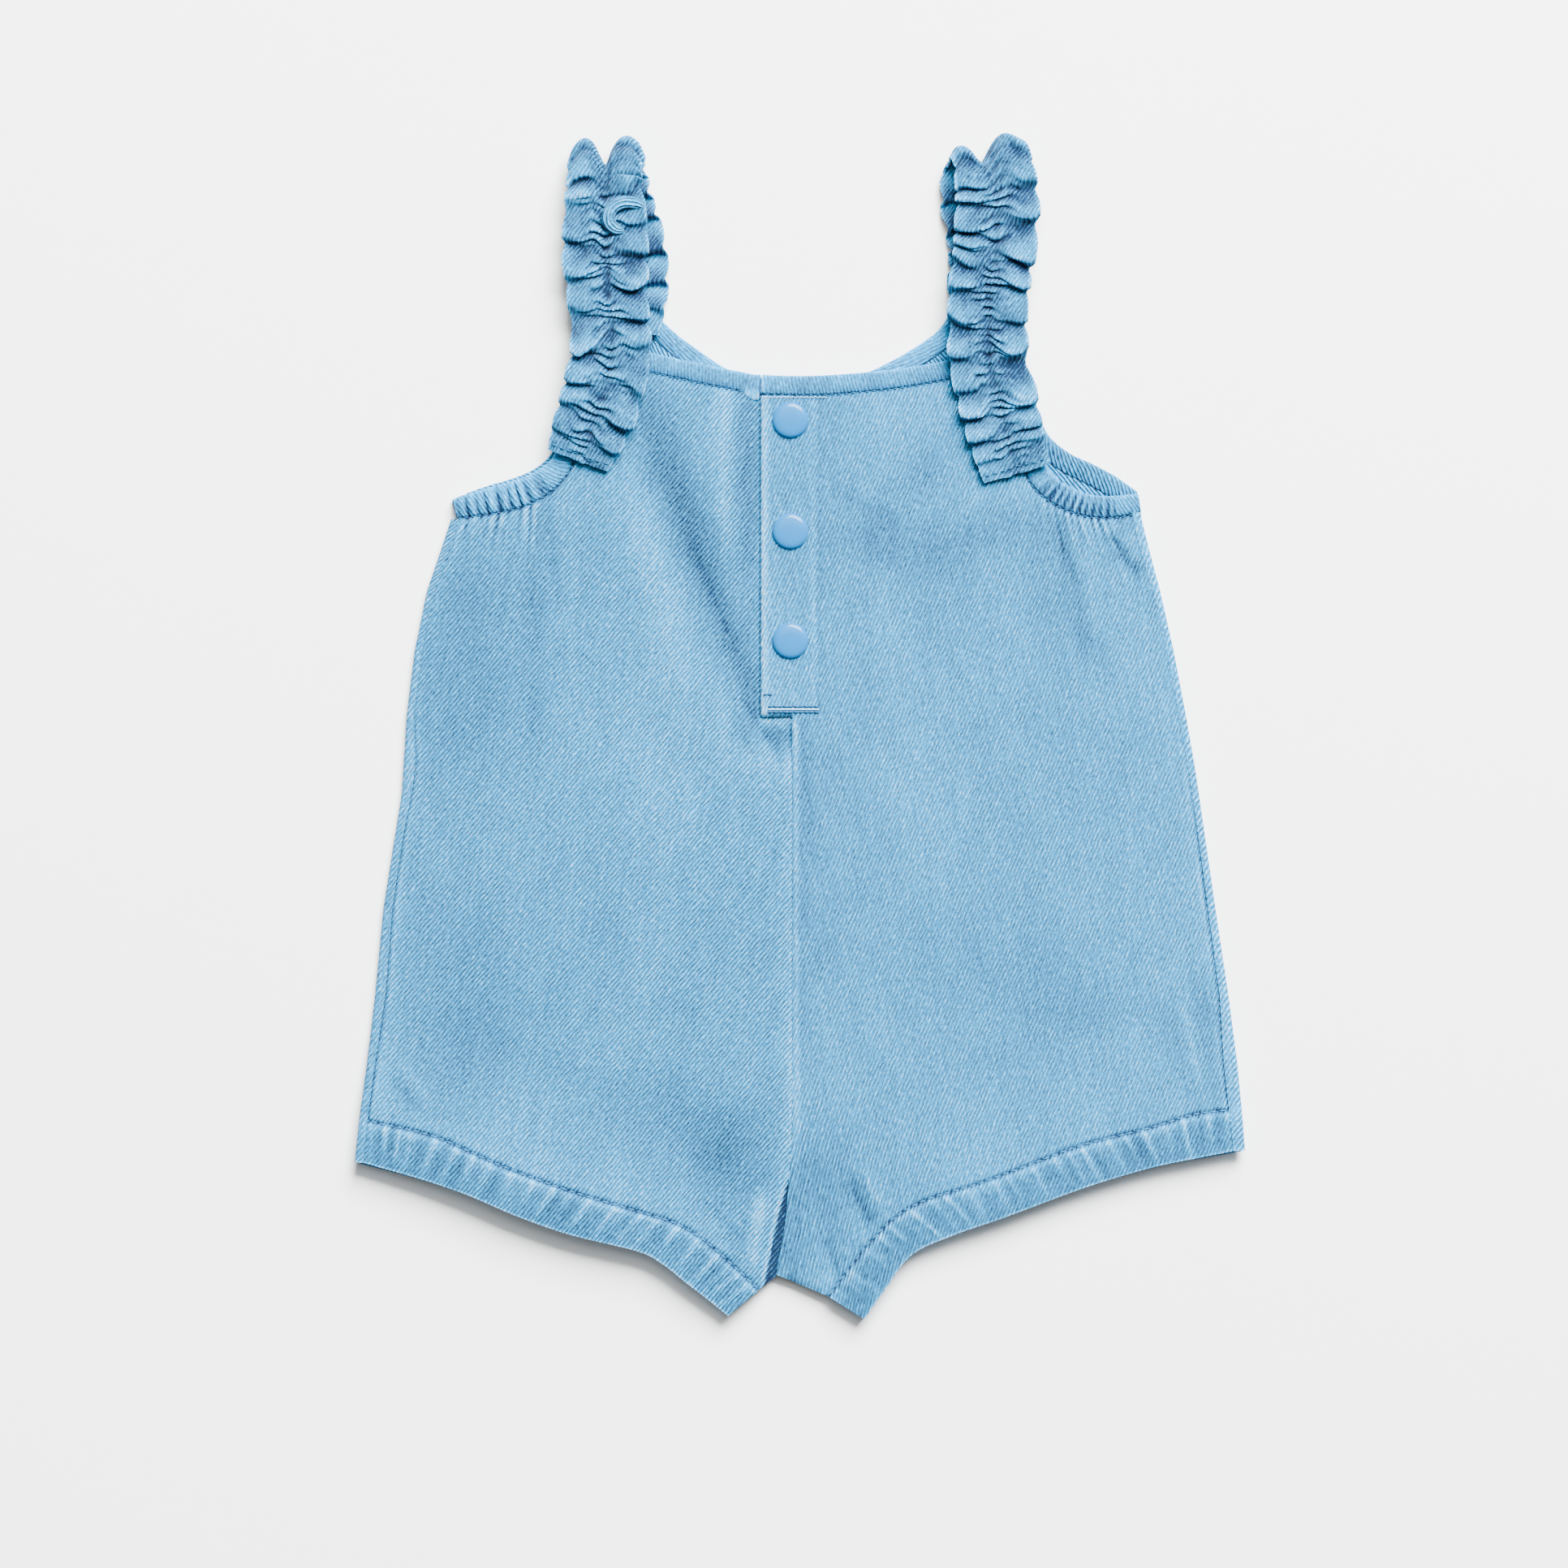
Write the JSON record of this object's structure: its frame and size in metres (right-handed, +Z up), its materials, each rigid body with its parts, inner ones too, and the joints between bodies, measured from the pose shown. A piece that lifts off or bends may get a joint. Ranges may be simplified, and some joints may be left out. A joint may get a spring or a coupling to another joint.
{
  "type": "denim romper",
  "caption": "Sleeveless baby romper in light denim, laid flat on its back, with ruffled shoulder straps, gathered armholes, short legs and a snap placket",
  "frame": {"origin": "centre of the romper's outline, on the surface it lies on", "axes": "+X to the right seen from above, +Y from the legs to the straps, +Z up off the surface"},
  "size_m": [0.2962, 0.3941, 0.0109],
  "materials": {
    "light_wash_denim": "light-wash cotton denim twill, matte and slightly uneven in colour",
    "strap_denim": "the same denim gathered into ruffles, deeper in the folds and paler on worn crests",
    "snap_paint": "smooth satin-gloss sky blue enamel on domed snap caps"
  },
  "bodies": {
    "root": {"front_panel_left": "light_wash_denim", "front_panel_right": "light_wash_denim", "back_panel_left": "light_wash_denim", "back_panel_right": "light_wash_denim", "neck_binding_front_left": "light_wash_denim", "neck_binding_front_right": "light_wash_denim", "neck_binding_back": "light_wash_denim", "armhole_binding_front_left": "light_wash_denim", "armhole_binding_front_right": "light_wash_denim", "armhole_binding_back_left": "light_wash_denim", "armhole_binding_back_right": "light_wash_denim", "strap_left": "strap_denim", "strap_right": "strap_denim", "snap_cap_top": "snap_paint", "snap_cap_middle": "snap_paint", "snap_cap_bottom": "snap_paint"}
  },
  "joints": []
}
